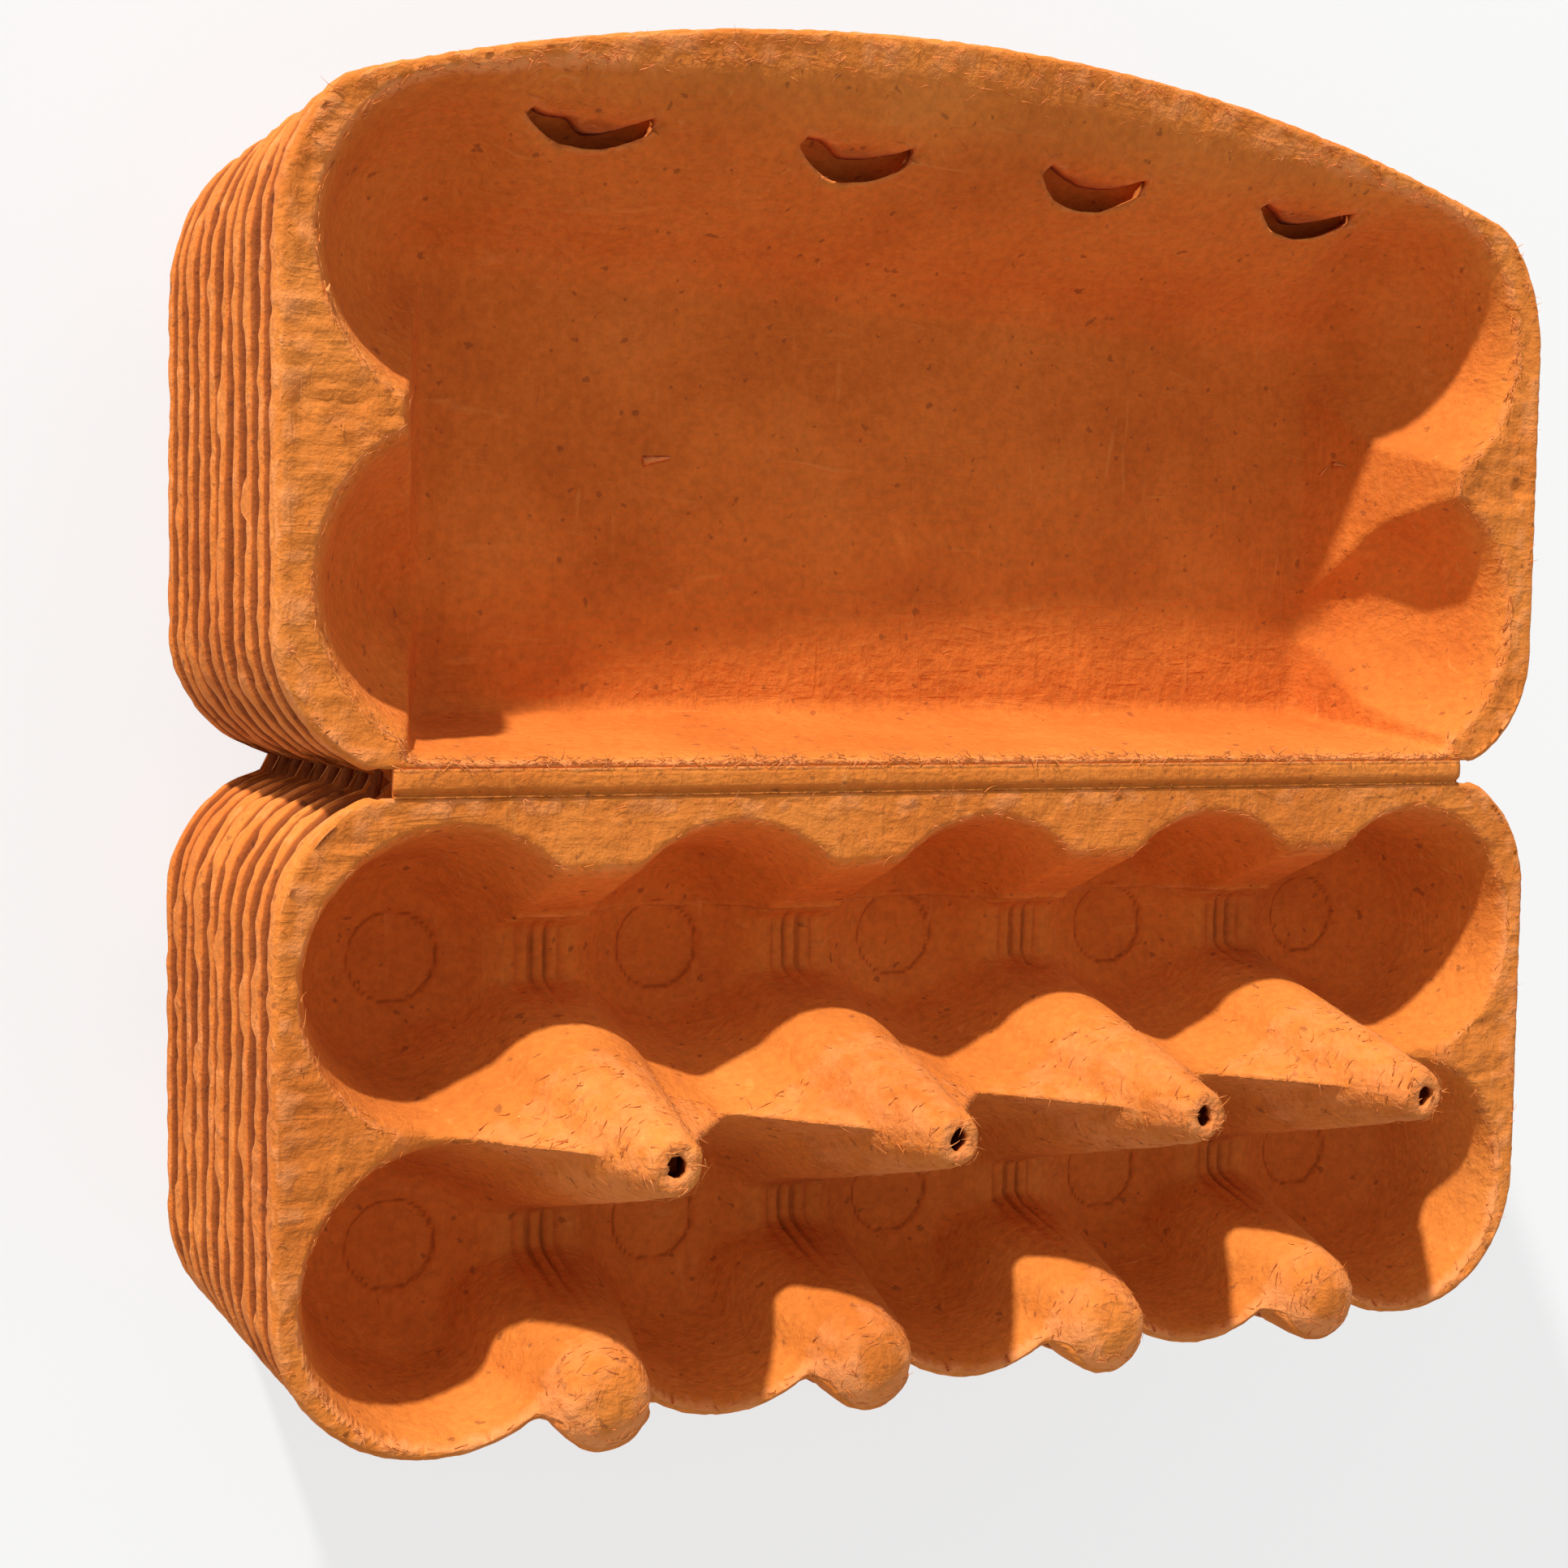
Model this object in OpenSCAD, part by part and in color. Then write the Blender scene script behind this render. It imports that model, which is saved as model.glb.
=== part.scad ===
// Stack of open ten-egg cartons in moulded pulp, each nested in the one below.
// Origin: middle of the stack's footprint, on the surface that it stands on. +X runs along the
// hinge, the lids lie open towards +Y and the egg cups towards -Y.

/* [Stack] */
// Number of cartons in the stack
carton_count = 10; // [3:1:12]
// Height from one carton to the next when nested
nest_pitch = 7.8; // [6.8:0.1:9]
// Gap between the sloping walls of two nested cartons, measured level
nest_gap = 0.25; // [0.2:0.05:0.5]

/* [Carton] */
// Length of a carton along its hinge
carton_l = 246; // [244:1:256]
// Depth of the base, and of the lid, from rim to underside
carton_h = 35; // [33:0.5:40]
// Thickness of the pulp where it lies flat
pulp_t = 1.8; // [1.4:0.1:2.2]
// Height of the turned-down edge round the rim
lip_h = 5.2; // [3:0.1:5.6]
// Thickness of the turned-down edge
lip_t = 1.2; // [1:0.1:1.6]
// Radius of the rim's corners beside the hinge
notch_corner_r = 23; // [18:1:26]

/* [Base with egg cups] */
// Distance from the hinge line to the base's front edge, at the front posts
base_w = 105; // [104:0.5:112]
// Distance from the carton's end to the middle of a row's last cup
cup_end = 28; // [27:0.25:30]
// Width of the web between two cups of a row, at the rim
cup_web = 0.3; // [0.2:0.1:1.5]
// Width of the web between the hinge line and the cups, at the rim
back_web = 6.9; // [6:0.1:9]
// Width of the web in front of the cups, at the rim
front_web = 1.8; // [1.7:0.1:3]
// How far the edge in front of the cups lies behind the edge at the front posts
front_step = 1.2; // [0.5:0.1:2]
// Depth of the bays in the front edge, between the cups and the front posts
front_bay = 5; // [3:0.5:5.5]
// Slope of the cup's wall away from upright
cup_draft = 14; // [13:0.5:17]
// Level distance from a cup's edge at the rim to its flat floor
cup_run = 12.6; // [11.6:0.2:14.6]
// Slope of the cup's bowl, between floor and wall
bowl_draft = 45; // [40:1:50]
// Distance from the edge of that floor to the round foot pressed into it
foot_edge = 3.5; // [2.5:0.5:5]
// Depth of that foot
foot_h = 0.8; // [0.5:0.1:1.2]
// Height of the low saddles between the cups of one row
saddle_z = 7; // [6:0.5:10]
// Half the width of those saddles
saddle_half_w = 5; // [4:0.5:7]
// Slope of the sides of the saddles
saddle_draft = 22; // [18:1:28]
// Depth of the dips in the wall between the two rows
dip_h = 3.5; // [2.5:0.5:5]
// Radius of those dips
dip_r = 14; // [12:0.5:18]

/* [Posts] */
// Distance from the tip of a middle post to the outside of a closed lid
post_room = 5; // [4:0.5:10]
// Radius of a post's tip
post_tip_r = 4.8; // [4:0.1:5.5]
// Radius of the torn hole in the tip
post_hole_r = 1.8; // [1:0.1:2.4]
// Slope of a post's side
post_draft = 14; // [13:0.5:16]
// Reach of a post's two ridges along the wall between the rows, at rim height
ridge_reach = 22; // [18:0.5:24]
// Height of the four front posts above the rim
knob_h = 7.5; // [5:0.5:9]
// Radius of a front post's rounded knob
knob_r = 7; // [5:0.1:7.6]
// Distance from the base's front edge to the middle of the front posts
knob_edge = 8; // [7.5:0.1:9]
// Slope of a front post's side
knob_draft = 15; // [13:0.5:18]
// Radius, at the rim, of the humps on the hinge side
hump_r = 13; // [11:0.5:14]
// Slope of those humps
hump_draft = 25; // [20:1:28]

/* [Lid] */
// Distance from the hinge line to the middle of the lid's front edge
lid_w = 122; // [119:1:126]
// How far the lid's front edge bows out over its length
lid_bow = 22; // [16:1:24]
// Width of the flange in front of the lid
lid_flange = 4; // [3:0.5:5]
// Distance from the hinge line to the lid's back wall at the rim
lid_back_y = 3.4; // [3:0.1:5]
// Slope of the lid's back wall
lid_back_draft = 10; // [9.5:0.5:13]
// Level distance from the lid's floor to the middle of the lid's front edge
lid_front_run = 37.5; // [36:0.5:39]
// Slope of the lid's front wall
lid_front_draft = 36.5; // [34:0.5:38]
// Slope of the wide flare between that wall and the bowed rim
lid_flare_draft = 65; // [60:1:68]
// Slope of the front wall's rounded ends
lid_corner_draft = 20; // [19:1:24]
// Distance from the carton's end to the lid's hollow between its round ends, at the rim
lid_end = 20; // [19:0.5:23]
// Slope of the walls between the round ends
lid_end_draft = 18; // [16:0.5:22]
// Radius of the lid's four round end lobes at the rim
lobe_r = 26; // [25:0.25:27]
// Slope of the upper half of a lobe
lobe_draft = 22; // [20:0.5:26]
// Slope of the lower half of a lobe
lobe_bowl_draft = 45; // [42:1:50]
// Distance from the rim to the middle of a lobe's slope, where it turns flatter
lobe_turn = 17; // [14:0.5:20]
// Distance from the carton's end to the lobes
lobe_edge = 6.3; // [5.5:0.1:8]
// Distance from the middle of the lid's front edge to the middle of the front lobes
lobe_front = 41.6; // [40:0.2:43]
// Distance from the carton's end to the label panel pressed into the lid's floor
panel_end = 31; // [30:1:48]
// Distance from the long edges of the lid's floor to that panel
panel_edge = 2.2; // [2:0.1:12]
// Depth of that panel
panel_h = 0.6; // [0.4:0.1:1]

/* [Locks and hinge] */
// Radius of the curved lower edge of a lock slit
slit_r = 11; // [9:0.5:12]
// Distance from the rim down to a lock slit's lowest point
slit_drop = 12.5; // [12:0.5:14]
// Height of a lock slit's ends above its lowest point
slit_end_h = 6.5; // [5:0.5:6.8]
// Width of a lock slit's opening in the middle
slit_w = 3.6; // [3:0.1:4.5]
// Distance from the carton's end to the hinge strip
hinge_end = 18; // [16:0.5:23]
// Distance between the two scored grooves of the hinge
groove_pitch = 4.4; // [4:0.2:5.4]
// Radius of a scored groove
groove_r = 0.8; // [0.5:0.1:1]
// Gap between the base and the lid of the top carton, at the fold
fold_gap = 0.2; // [0.1:0.05:0.4]

/* [Hidden] */
$fn = 96;
function carton_name(i) = str("carton_", i < 10 ? "0" : "", i);

// The lower face of the pulp is the upper face moved out level by wall(slope) on a slope and
// down by pulp_t on a flat, and never so far that it would touch the next carton.
function wall(draft) = min(pulp_t / cos(draft), nest_pitch * tan(draft) - nest_gap);
over = 40;                                  // how far cutters reach past what they cut
below = 5;
cups = 5;
posts = cups - 1;
cup_pitch = (carton_l - 2 * cup_end) / (cups - 1);
cup_r = (cup_pitch - cup_web) / 2;          // radius of a cup at the rim
cup_floor_r = cup_r - cup_run;
foot_r = cup_floor_r - foot_edge;
first_row_y = back_web + cup_r;
second_row_y = base_w - front_step - front_web - cup_r;
middle_y = (first_row_y + second_row_y) / 2;
dip_z = carton_h - dip_h;
post_z = 2 * carton_h - post_room;
knob_z = carton_h + knob_h;
knob_y = base_w - knob_edge;
lid_arc_r = (pow(carton_l / 2, 2) + pow(lid_bow, 2)) / (2 * lid_bow);
lid_arc_y = lid_w - lid_arc_r;
lobe_x = carton_l / 2 - lobe_edge - lobe_r;
near_lobe_y = lid_back_y + lobe_r;
far_lobe_y = lid_w - lobe_front;
lid_floor_y = lid_w - lid_front_run;
lid_half_l = carton_l / 2 - lid_end;
floor_z = pulp_t + panel_h;                 // upper face of the lid's floor round the panel
cup_floor_z = pulp_t + foot_h;
slit_z = carton_h - slit_drop;
hinge_l = carton_l - 2 * hinge_end;
hinge_half_w = 5;
hump_y = 2;                                 // from the hinge line to the middle of a hump
post_round = 1.6;                           // height of a post's bevelled tip
knob_round = 3;                             // height of a knob's bevelled top
ridge_top = 3;                              // from a post's tip down to its ridges' peak
ridge_ratio = 0.42;                         // width of the ridges' pyramid by its length
sink = 0.5;                                 // how far joined solids run into one another
pulp = [0.86, 0.53, 0.27];
stack_y = (base_w - lid_w) / 2;             // from the hinge line to the middle of the footprint

function cup_x(i) = (i - (cups - 1) / 2) * cup_pitch;
function post_x(i) = (i - (posts - 1) / 2) * cup_pitch;

// A cone or frustum about a vertical axis, from height z0 to height z1
module frustum(x, y, z0, r0, z1, r1) {
    translate([x, y, z0]) cylinder(h = z1 - z0, r1 = r0, r2 = r1);
}

// A cone that widens downwards from radius r at height z; face 0 is the upper face of the
// pulp, face 1 the lower one
module mound(x, y, z, r, draft, face) {
    top = z - face * pulp_t;
    top_r = r - face * wall(draft) + face * pulp_t * tan(draft);
    frustum(x, y, -below, top_r + (top + below) * tan(draft), top, top_r);
}

// Hollow of one egg cup: floor, flared bowl and steep wall
module cup(x, y, face) {
    side = cup_r + face * wall(cup_draft);
    bowl = cup_floor_r + face * wall(bowl_draft);
    low = cup_floor_z - face * pulp_t;
    kink = (side - bowl - carton_h * tan(cup_draft) + cup_floor_z * tan(bowl_draft))
        / (tan(bowl_draft) - tan(cup_draft));
    kink_r = side - (carton_h - kink) * tan(cup_draft);
    top = carton_h + over;
    translate([x, y, 0]) rotate_extrude() polygon([
        [0, low],
        [kink_r - (kink - low) * tan(bowl_draft), low],
        [kink_r, kink],
        [side + over * tan(cup_draft), top],
        [0, top]
    ]);
    frustum(x, y, pulp_t * (1 - face), foot_r + face * foot_h, low + 1, foot_r + face * foot_h);
}

// Low channel that joins the cups of one row
module channel(y, face) {
    low = saddle_z - face * pulp_t;
    half = saddle_half_w + face * (wall(saddle_draft) - pulp_t * tan(saddle_draft));
    high = carton_h + over;
    reach = cup_x(cups - 1);
    translate([-reach, y, 0]) rotate([90, 0, 90]) linear_extrude(2 * reach) polygon([
        [-half, low],
        [half, low],
        [half + (high - low) * tan(saddle_draft), high],
        [-half - (high - low) * tan(saddle_draft), high]
    ]);
}

// Dip in the wall between the rows, beside each pair of cups
module dip(x, face) {
    translate([x, -middle_y, dip_z + dip_r - face * pulp_t]) rotate([90, 0, 0])
        cylinder(h = cup_r, r = dip_r, center = true);
}

// Hollow post where four cups meet, with a ridge running to each side
module post(x, face) {
    mound(x, -middle_y, post_z - post_round, post_tip_r, post_draft, face);
    top = post_z - face * pulp_t;
    tip = post_tip_r - face * wall(post_draft);
    frustum(x, -middle_y, top - post_round - sink, tip, top, tip - post_round);
    // The ridges are a flat pyramid set through the cone, with thicker walls than the rest
    drop = face * min(3 * pulp_t, nest_pitch - sink - nest_gap);
    peak = post_z - ridge_top;
    side = ridge_reach * (peak + below) / (peak - carton_h);
    translate([x, -middle_y, -below - drop]) linear_extrude(peak + below, scale = 0.001)
        polygon([[-side, 0], [0, side * ridge_ratio], [side, 0], [0, -side * ridge_ratio]]);
}

// Front post with a knob that the lid's slit would hook over
module front_post(x, face) {
    mound(x, -knob_y, knob_z - knob_round, knob_r, knob_draft, face);
    top = knob_z - face * pulp_t;
    tip = knob_r - face * wall(knob_draft);
    frustum(x, -knob_y, top - knob_round - sink, tip, top, tip - (1 - face / 4) * knob_round);
}

// Everything below one face of the pulp in the base
module base_mass(face) {
    difference() {
        translate([-carton_l, -base_w - over, -below])
            cube([2 * carton_l, base_w + over, carton_h + below - face * pulp_t]);
        for (i = [0 : cups - 1]) {
            cup(cup_x(i), -first_row_y, face);
            cup(cup_x(i), -second_row_y, face);
            dip(cup_x(i), face);
        }
        channel(-first_row_y, face);
        channel(-second_row_y, face);
    }
    for (i = [0 : posts - 1]) {
        post(post_x(i), face);
        front_post(post_x(i), face);
        intersection() {
            mound(post_x(i), hump_y, carton_h, hump_r, hump_draft, face);
            translate([-carton_l, -base_w, -below]) cube([2 * carton_l, base_w, 2 * carton_h]);
        }
    }
}

// Hollow of one rounded end lobe of the lid
module lobe(x, y, face) {
    upper = lobe_r + face * wall(lobe_draft);
    turn_z = carton_h - lobe_turn;
    turn_r = upper - lobe_turn * tan(lobe_draft) - face * pulp_t * tan(lobe_draft);
    low = floor_z - face * pulp_t;
    translate([x, y, 0]) rotate_extrude() polygon([
        [0, low],
        [turn_r - (turn_z - face * pulp_t - low) * tan(lobe_bowl_draft), low],
        [turn_r, turn_z - face * pulp_t],
        [upper + over * tan(lobe_draft), carton_h + over],
        [0, carton_h + over]
    ]);
}

// Cone on the axis of the lid's bowed front edge, with radius r at the rim
module arc_cone(r, draft, low) {
    frustum(0, lid_arc_y, low, r - (carton_h - low) * tan(draft),
        carton_h + over, r + over * tan(draft));
}

// Main hollow of the lid between its back, front and end walls
module lid_hollow(face) {
    low = floor_z - face * pulp_t;
    high = carton_h + over;
    back = lid_back_y - face * wall(lid_back_draft);
    half = lid_half_l + face * wall(lid_end_draft);
    arc = lid_arc_r - lid_flange;
    front = lid_floor_y + face * (wall(lid_front_draft) - pulp_t * tan(lid_front_draft));
    intersection() {
        translate([-carton_l, 0, 0]) rotate([90, 0, 90]) linear_extrude(2 * carton_l) polygon([
            [back + (carton_h - low) * tan(lid_back_draft), low],
            [2 * lid_w, low],
            [2 * lid_w, high],
            [back - over * tan(lid_back_draft), high]
        ]);
        translate([0, 2 * lid_w, 0]) rotate([90, 0, 0]) linear_extrude(3 * lid_w) polygon([
            [-half + (carton_h - low) * tan(lid_end_draft), low],
            [half - (carton_h - low) * tan(lid_end_draft), low],
            [half + over * tan(lid_end_draft), high],
            [-half - over * tan(lid_end_draft), high]
        ]);
        union() {
            arc_cone(arc + face * wall(lid_flare_draft), lid_flare_draft, low);
            intersection() {
                arc_cone(arc + face * wall(lid_corner_draft), lid_corner_draft, low);
                translate([-carton_l, 0, 0]) rotate([90, 0, 90]) linear_extrude(2 * carton_l)
                    polygon([
                        [-lid_w, low],
                        [front, low],
                        [front + (high - low) * tan(lid_front_draft), high],
                        [-lid_w, high]
                    ]);
            }
        }
    }
}

// Everything below one face of the pulp in the lid
module lid_mass(face) {
    back = lid_back_y + (carton_h - floor_z) * tan(lid_back_draft);
    panel_y = (back + lid_floor_y) / 2;
    panel_l = carton_l - 2 * panel_end;
    panel_w = lid_floor_y - back - 2 * panel_edge;
    difference() {
        translate([-carton_l, 0, -below])
            cube([2 * carton_l, lid_w + over, carton_h + below - face * pulp_t]);
        lid_hollow(face);
        for (side = [-1, 1]) {
            lobe(side * lobe_x, near_lobe_y, face);
            lobe(side * lobe_x, far_lobe_y, face);
        }
        translate([0, panel_y, floor_z - face * pulp_t])
            cube([panel_l + face * panel_h, panel_w + face * panel_h, 2 * panel_h], center = true);
    }
}

// Rim outline of the base from height z0 to z1, drawn in by inset
module base_outline(inset, z0, z1) {
    tall = z1 - z0;
    half = carton_l / 2 - inset;
    corner = notch_corner_r - inset;
    corner_x = carton_l / 2 - notch_corner_r;
    front_x = cup_x(cups - 1);
    lobe = cup_r + front_web - inset;
    front_y = base_w - front_bay - inset;
    translate([0, 0, z0]) {
        for (side = [-1, 1])
            translate([side * corner_x, -notch_corner_r, 0]) cylinder(h = tall, r = corner);
        translate([-corner_x, -notch_corner_r, 0])
            cube([2 * corner_x, notch_corner_r - inset, tall]);
        translate([-half, -second_row_y, 0])
            cube([2 * half, second_row_y - notch_corner_r, tall]);
        translate([-front_x, -front_y, 0]) cube([2 * front_x, front_y - first_row_y, tall]);
        for (side = [-1, 1])
            translate([side * (half - lobe), -second_row_y, 0]) cylinder(h = tall, r = lobe);
        for (i = [0 : cups - 1])
            translate([cup_x(i), -second_row_y, 0]) cylinder(h = tall, r = lobe);
        for (i = [0 : posts - 1])
            translate([post_x(i), -knob_y, 0]) cylinder(h = tall, r = base_w - knob_y - inset);
    }
}

// Rim outline of the lid, the same way
module lid_outline(inset, z0, z1) {
    tall = z1 - z0;
    half = carton_l / 2 - inset;
    corner_x = carton_l / 2 - notch_corner_r;
    far_r = lobe_r + lobe_edge - inset;
    intersection() {
        translate([0, 0, z0]) {
            for (side = [-1, 1]) {
                translate([side * corner_x, notch_corner_r, 0])
                    cylinder(h = tall, r = notch_corner_r - inset);
                translate([side * lobe_x, far_lobe_y, 0]) cylinder(h = tall, r = far_r);
            }
            translate([-corner_x, inset, 0]) cube([2 * corner_x, far_lobe_y, tall]);
            translate([-half, notch_corner_r, 0])
                cube([2 * half, far_lobe_y - notch_corner_r, tall]);
            translate([-lobe_x, notch_corner_r, 0]) cube([2 * lobe_x, lid_w, tall]);
        }
        translate([0, lid_arc_y, z0 - 1]) cylinder(h = tall + 2, r = lid_arc_r - inset, $fn = 360);
    }
}

// Crescent slit in the lid's front wall
module lock_slit(x) {
    wall_y = lid_floor_y + (slit_z - floor_z) * tan(lid_front_draft);
    reach = slit_end_h * tan(lid_flare_draft) + wall(lid_flare_draft);
    upper_r = 1.1 * slit_r;
    translate([x, wall_y - pulp_t, slit_z]) intersection() {
        difference() {
            translate([0, 0, slit_r]) rotate([-90, 0, 0]) cylinder(h = reach, r = slit_r);
            translate([0, -sink, slit_w + upper_r]) rotate([-90, 0, 0])
                cylinder(h = reach + 2 * sink, r = upper_r);
        }
        translate([-slit_r, 0, 0]) cube([2 * slit_r, reach, slit_end_h]);
    }
}

// One carton, open flat, with the hinge line along X at y = 0 and its underside at z = 0
module carton() {
    color(pulp) difference() {
        union() {
            difference() {
                intersection() {
                    base_outline(0, 0, carton_h + over);
                    base_mass(0);
                }
                base_mass(1);
            }
            difference() {
                intersection() {
                    lid_outline(0, 0, carton_h + 1);
                    lid_mass(0);
                }
                lid_mass(1);
            }
            difference() {
                base_outline(0, carton_h - lip_h, carton_h - pulp_t / 2);
                base_outline(lip_t, carton_h - lip_h - 1, carton_h);
                base_posts_clear();
            }
            difference() {
                lid_outline(0, carton_h - lip_h, carton_h - pulp_t / 2);
                lid_outline(lip_t, carton_h - lip_h - 1, carton_h);
                hinge_clear();
            }
            translate([-hinge_l / 2, -hinge_half_w, carton_h - pulp_t])
                cube([hinge_l, hinge_half_w + lid_back_y - wall(lid_back_draft), pulp_t]);
        }
        for (side = [-1, 1])
            translate([-carton_l, side * groove_pitch / 2, carton_h + groove_r / 4])
                rotate([0, 90, 0]) cylinder(h = 2 * carton_l, r = groove_r);
        for (i = [0 : posts - 1]) {
            translate([post_x(i), -middle_y, post_z - over / 4])
                cylinder(h = over, r = post_hole_r);
            lock_slit(post_x(i));
        }
    }
}

// The turned-down edge stops at the hinge strip and at the front posts
module hinge_clear() {
    translate([-hinge_l / 2, -hinge_half_w, 0]) cube([hinge_l, 2 * hinge_half_w, 2 * carton_h]);
}

module base_posts_clear() {
    hinge_clear();
    for (i = [0 : posts - 1])
        mound(post_x(i), -knob_y, knob_z, knob_r, knob_draft, 1);
}

// A carton at its place in the stack, counted from the top
module placed(i) {
    translate([0, stack_y, (carton_count - i) * nest_pitch]) children();
}

// Half of the room on one side of the fold: side -1 is the base, 1 the lid
module half_room(side) {
    translate([-carton_l, side > 0 ? fold_gap / 2 : -fold_gap / 2 - 2 * base_w, -below])
        cube([2 * carton_l, 2 * base_w, 3 * carton_h]);
}

module top_base() {
    placed(1) intersection() {
        carton();
        half_room(-1);
    }
}

module top_lid() {
    placed(1) intersection() {
        carton();
        half_room(1);
    }
}

top_base();
top_lid();
for (i = [2 : carton_count])
    placed(i) carton();
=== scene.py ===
import math

import bpy
import numpy as np
from mathutils import Matrix, Vector


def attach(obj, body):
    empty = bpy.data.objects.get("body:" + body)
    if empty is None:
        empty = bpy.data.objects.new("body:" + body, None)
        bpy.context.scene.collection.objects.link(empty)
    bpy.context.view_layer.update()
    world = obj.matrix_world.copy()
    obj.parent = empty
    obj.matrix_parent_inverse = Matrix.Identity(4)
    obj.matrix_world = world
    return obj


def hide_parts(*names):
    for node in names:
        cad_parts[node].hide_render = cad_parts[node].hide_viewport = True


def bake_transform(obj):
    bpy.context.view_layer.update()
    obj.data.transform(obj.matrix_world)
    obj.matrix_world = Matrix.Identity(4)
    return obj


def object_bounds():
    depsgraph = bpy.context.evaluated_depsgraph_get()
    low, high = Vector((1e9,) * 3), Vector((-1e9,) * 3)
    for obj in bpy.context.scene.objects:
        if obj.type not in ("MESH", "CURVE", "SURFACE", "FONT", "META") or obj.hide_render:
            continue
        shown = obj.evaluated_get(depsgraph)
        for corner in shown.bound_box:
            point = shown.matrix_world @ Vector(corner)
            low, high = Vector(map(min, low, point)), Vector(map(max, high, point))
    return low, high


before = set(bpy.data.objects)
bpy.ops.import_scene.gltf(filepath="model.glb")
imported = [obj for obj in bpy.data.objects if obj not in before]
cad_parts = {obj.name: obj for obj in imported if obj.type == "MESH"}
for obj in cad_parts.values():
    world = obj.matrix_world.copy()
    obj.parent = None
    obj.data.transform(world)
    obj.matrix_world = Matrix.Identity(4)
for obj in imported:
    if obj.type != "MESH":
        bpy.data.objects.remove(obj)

cad_box = [list(corner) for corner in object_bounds()]

# Sizes in millimetres, with the names and values of the part's source
cartons = 10
nest_pitch = 7.8
nest_gap = 0.25
carton_l = 246.0
carton_h = 35.0
pulp_t = 1.8
lip_h = 5.2
notch_corner_r = 23.0
base_w = 105.0
cup_pitch = 47.5
row_pitch = 47.9
first_row_y = 30.5
cup_r = 23.6
cup_draft = 14.0
cup_floor_r = 11.0
bowl_draft = 45.0
foot_r = 7.5
foot_h = 0.8
saddle_z = 7.0
saddle_half_w = 5.0
saddle_draft = 22.0
dip_z = 31.5
dip_r = 14.0
post_z = 65.0
post_tip_r = 4.8
post_hole_r = 1.8
post_draft = 14.0
ridge_reach = 22.0
knob_z = 42.5
knob_r = 7.0
knob_y = 97.0
knob_draft = 15.0
hump_r = 13.0
hump_draft = 25.0
hump_y = 2.0
lid_w = 122.0
lid_bow = 22.0
lid_flange = 4.0
lid_back_y = 3.4
lid_back_draft = 10.0
lid_floor_y = 84.5
lid_front_draft = 36.5
lid_flare_draft = 65.0
lid_corner_draft = 20.0
lid_half_l = 103.0
lid_end_draft = 18.0
lobe_r = 26.0
lobe_draft = 22.0
lobe_bowl_draft = 45.0
lobe_turn = 17.0
lobe_edge = 6.3
lobe_pitch = 51.0
panel_l = 184.0
panel_w = 71.0
panel_h = 0.6
slit_z = 22.5
hinge_l = 210.0
hinge_half_w = 5.0
rim_inset = 2.4
fold_y = 2.2
front_web = 1.8
front_bay = 5.0

second_row_y = first_row_y + row_pitch
middle_y = first_row_y + row_pitch / 2
lid_arc_r = ((carton_l / 2) ** 2 + lid_bow ** 2) / (2 * lid_bow)
lid_arc_y = lid_w - lid_arc_r
lobe_x = carton_l / 2 - lobe_edge - lobe_r
near_lobe_y = lid_back_y + lobe_r
far_lobe_y = near_lobe_y + lobe_pitch
floor_z = pulp_t + panel_h
cup_floor_z = pulp_t + foot_h
stack_y = (base_w - lid_w) / 2
cup_x = [(i - 2) * cup_pitch for i in range(5)]
post_x = [(i - 1.5) * cup_pitch for i in range(4)]
row_ys = (first_row_y, second_row_y)

# How much edges are rounded: the height k of smin and smax
floor_round = 3.0
cup_rim_round = 3.6
saddle_rim_round = 4.0
dip_round = 1.5
hump_foot_round = 4.0
post_side_round = 2.5
post_top_round = 2.6
post_foot_round = 5.0
knob_top_round = 4.0
lid_front_round = 5.0
lid_wall_round = 9.0
lobe_floor_round = 4.0
lobe_rim_round = 1.4

# Sizes of details that only the scene has, in millimetres
far_off = 1000.0
foot_line_depth = 0.45
foot_line_w = 0.6
post_cut = 1.6
ridge_drop = 3.0
ridge_below = 5.0
ridge_slant = 0.42
knob_cut = 3.0
knob_arch = 0.045
lens_half = 12.8
lens_r = 16.0
lens_tall = 8.0
lens_arch = 2.5
pocket_depth = 5.2
mouth_tall = 4.0
round_r = 1.2
rib_half_l = 7.0
rib_pitch = 2.6

# The areas that the grids cover: x from and to, y from and to
grid_half = carton_l / 2 + 1
cup_area = (-grid_half, grid_half, -base_w - 1, -fold_y)
lid_area = (-grid_half, grid_half, fold_y, lid_w + 1)
whole_area = (-grid_half, grid_half, -base_w - 1, lid_w + 1)


def tan(degrees):
    return math.tan(math.radians(degrees))


def wall(draft):
    return min(pulp_t / math.cos(math.radians(draft)), nest_pitch * tan(draft) - nest_gap)


# Smooth minimum and maximum, which round an edge off over a height k
def smin(a, b, k):
    h = np.clip(0.5 + 0.5 * (b - a) / k, 0, 1)
    return b * (1 - h) + a * h - k * h * (1 - h)


def smax(a, b, k):
    return -smin(-a, -b, k)


def step(a, b, v):
    t = np.clip((v - a) / (b - a), 0, 1)
    return t * t * (3 - 2 * t)


# Repeatable noise on a lattice, from -1 to 1
def lattice(ix, iy, iz, seed):
    h = (ix * 374761393 + iy * 668265263 + iz * 2147483647 + seed * 1274126177) & 0xFFFFFFFF
    h = ((h ^ (h >> 13)) * 1274126177) & 0xFFFFFFFF
    h = ((h ^ (h >> 16)) * 2246822519) & 0xFFFFFFFF
    return ((h ^ (h >> 15)) & 0xFFFF) / 32767.5 - 1.0


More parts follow.
